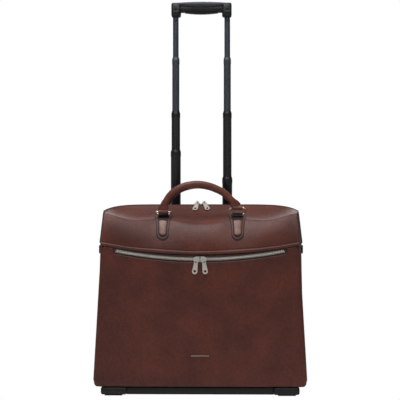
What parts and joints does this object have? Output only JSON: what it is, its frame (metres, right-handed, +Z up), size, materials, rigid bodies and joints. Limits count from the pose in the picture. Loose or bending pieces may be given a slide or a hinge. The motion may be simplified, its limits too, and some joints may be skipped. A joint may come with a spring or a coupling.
{
  "type": "rolling pilot case",
  "caption": "Soft leather rolling pilot case with a zipped doctor-bag mouth, a curved front zip pocket, two carry handles, rear wheels and a telescopic pull handle.",
  "frame": {"origin": "on the floor, under the middle of the whole case", "axes": "+Z up, -Y out of the case's front face, +X to the viewer's right when facing the front"},
  "size_m": [0.429, 0.2154, 0.8255],
  "materials": {
    "brown_leather": "grained, semi-matt",
    "nickel": "satin nickel plate",
    "black_tube": "black anodised",
    "black_plastic": "fine moulded texture",
    "tread_rubber": "matt",
    "stiffening_board": "cloth-covered board",
    "padded_lining": "woven lining over foam"
  },
  "bodies": {
    "case": {"case_shell": "brown_leather", "rear_top_panel": "brown_leather", "front_pocket_panel": "brown_leather", "front_zip": "nickel", "front_badge": "nickel", "base_board": "stiffening_board", "padded_divider": "padded_lining", "tube_casing": "stiffening_board", "tube_bezel": "black_plastic", "tube_bracket": "black_plastic", "outer_tube_left": "black_tube", "outer_tube_right": "black_tube", "wheel_housing_left": "black_plastic", "wheel_housing_right": "black_plastic", "front_foot_bar": "black_plastic", "foot_pad_left": "tread_rubber", "foot_pad_right": "tread_rubber", "zip_end_tab_left": "brown_leather", "zip_end_tab_right": "brown_leather", "rear_handle_tab_left": "brown_leather", "rear_handle_tab_right": "brown_leather", "axle_left": "nickel", "axle_right": "nickel"},
    "mouth_panel": {"front_top_panel": "brown_leather", "top_zip": "nickel", "front_handle_tab_left": "brown_leather", "front_handle_tab_right": "brown_leather"},
    "top_slider_left": {"top_zip_slider_left": "nickel"},
    "top_slider_right": {"top_zip_slider_right": "nickel"},
    "top_pull_left": {"top_zip_pull_left": "nickel"},
    "top_pull_right": {"top_zip_pull_right": "nickel"},
    "front_slider_left": {"front_zip_slider_left": "nickel"},
    "front_slider_right": {"front_zip_slider_right": "nickel"},
    "front_pull_left": {"front_zip_pull_left": "nickel"},
    "front_pull_right": {"front_zip_pull_right": "nickel"},
    "front_rings": {"front_handle_ring_left": "nickel", "front_handle_ring_right": "nickel"},
    "front_handle": {"front_handle": "brown_leather"},
    "rear_rings": {"rear_handle_ring_left": "nickel", "rear_handle_ring_right": "nickel"},
    "rear_handle": {"rear_handle": "brown_leather"},
    "stage4_left": {"stage4_tube_left": "black_tube"},
    "stage4_right": {"stage4_tube_right": "black_tube"},
    "stage3": {"stage3_tube_left": "black_tube", "stage3_tube_right": "black_tube"},
    "stage2": {"stage2_tube_left": "black_tube", "stage2_tube_right": "black_tube"},
    "pull_grip": {"stage1_tube_left": "black_tube", "stage1_tube_right": "black_tube", "grip_base": "black_plastic", "grip_cover": "black_plastic", "grip_rivet_left": "nickel", "grip_rivet_right": "nickel"},
    "release_bar": {"release_squeeze_bar": "black_plastic"},
    "wheel_left": {"wheel_hub_left": "black_plastic", "wheel_tyre_left": "tread_rubber"},
    "wheel_right": {"wheel_hub_right": "black_plastic", "wheel_tyre_right": "tread_rubber"}
  },
  "joints": [
    {"name": "mouth_open", "type": "hinge", "parent": "case", "child": "mouth_panel", "pos_m": [0, -0.1, 0.283], "axis": [1, 0, 0], "range_deg": [0, 28]},
    {"name": "top_slider_left_slide", "type": "slide", "parent": "mouth_panel", "child": "top_slider_left", "axis": [-1, 0, 0], "range_m": [0, 0.15]},
    {"name": "top_pull_left_swing", "type": "hinge", "parent": "top_slider_left", "child": "top_pull_left", "pos_m": [-0.0071, -0.0013, 0.3901], "axis": [1, 0, 0], "range_deg": [-120, 0]},
    {"name": "top_slider_right_slide", "type": "slide", "parent": "mouth_panel", "child": "top_slider_right", "axis": [1, 0, 0], "range_m": [0, 0.15]},
    {"name": "top_pull_right_swing", "type": "hinge", "parent": "top_slider_right", "child": "top_pull_right", "pos_m": [0.0071, -0.0013, 0.3901], "axis": [1, 0, 0], "range_deg": [-120, 0]},
    {"name": "front_slider_left_run", "type": "hinge", "parent": "case", "child": "front_slider_left", "pos_m": [0, -0.1, 1.14937], "axis": [0, 1, 0], "range_deg": [0, 10]},
    {"name": "front_pull_left_swing", "type": "hinge", "parent": "front_slider_left", "child": "front_pull_left", "pos_m": [-0.0071, -0.1053, 0.27573], "axis": [1, 0, 0], "range_deg": [-150, 8]},
    {"name": "front_slider_right_run", "type": "hinge", "parent": "case", "child": "front_slider_right", "pos_m": [0, -0.1, 1.14937], "axis": [0, -1, 0], "range_deg": [0, 10]},
    {"name": "front_pull_right_swing", "type": "hinge", "parent": "front_slider_right", "child": "front_pull_right", "pos_m": [0.0071, -0.1053, 0.27573], "axis": [1, 0, 0], "range_deg": [-150, 8]},
    {"name": "front_rings_swing", "type": "hinge", "parent": "mouth_panel", "child": "front_rings", "pos_m": [0, -0.04792, 0.366], "axis": [1, 0, 0], "range_deg": [-20, 25]},
    {"name": "front_handle_swing", "type": "hinge", "parent": "front_rings", "child": "front_handle", "pos_m": [0, -0.05903, 0.37467], "axis": [0.9977, 0.0415, 0.0531], "range_deg": [-10, 75]},
    {"name": "rear_rings_swing", "type": "hinge", "parent": "case", "child": "rear_rings", "pos_m": [0, 0.03877, 0.36818], "axis": [1, 0, 0], "range_deg": [-10, 20]},
    {"name": "rear_handle_swing", "type": "hinge", "parent": "rear_rings", "child": "rear_handle", "pos_m": [0, 0.04801, 0.38], "axis": [1, 0, 0], "range_deg": [-8, 40]},
    {"name": "stage4_right_slide", "type": "slide", "parent": "case", "child": "stage4_right", "axis": [0, 0, -1], "range_m": [0, 0.0875]},
    {"name": "stage4_left_slide", "type": "slide", "parent": "case", "child": "stage4_left", "axis": [0, 0, -1], "range_m": [0, 0.146]},
    {"name": "stage3_slide", "type": "slide", "parent": "stage4_right", "child": "stage3", "axis": [0, 0, -1], "range_m": [0, 0.1395]},
    {"name": "stage2_slide", "type": "slide", "parent": "stage3", "child": "stage2", "axis": [0, 0, -1], "range_m": [0, 0.114]},
    {"name": "grip_slide", "type": "slide", "parent": "stage2", "child": "pull_grip", "axis": [0, 0, -1], "range_m": [0, 0.0847]},
    {"name": "release_squeeze", "type": "slide", "parent": "pull_grip", "child": "release_bar", "axis": [0, 0, 1], "range_m": [0, 0.0035], "stiffness_N_per_m": 400, "springref_m": -0.002},
    {"name": "wheel_left_spin", "type": "hinge", "parent": "case", "child": "wheel_left", "pos_m": [-0.19, 0.0837, 0.024], "axis": [1, 0, 0], "continuous": true},
    {"name": "wheel_right_spin", "type": "hinge", "parent": "case", "child": "wheel_right", "pos_m": [0.19, 0.0837, 0.024], "axis": [1, 0, 0], "continuous": true}
  ],
  "couplings": [
    {"joint": "top_slider_left_slide", "follows": "mouth_open", "m_per_rad": 0.305},
    {"joint": "top_slider_right_slide", "follows": "mouth_open", "m_per_rad": 0.305},
    {"joint": "stage4_left_slide", "follows": "stage3_slide", "ratio": 1.0465}
  ]
}
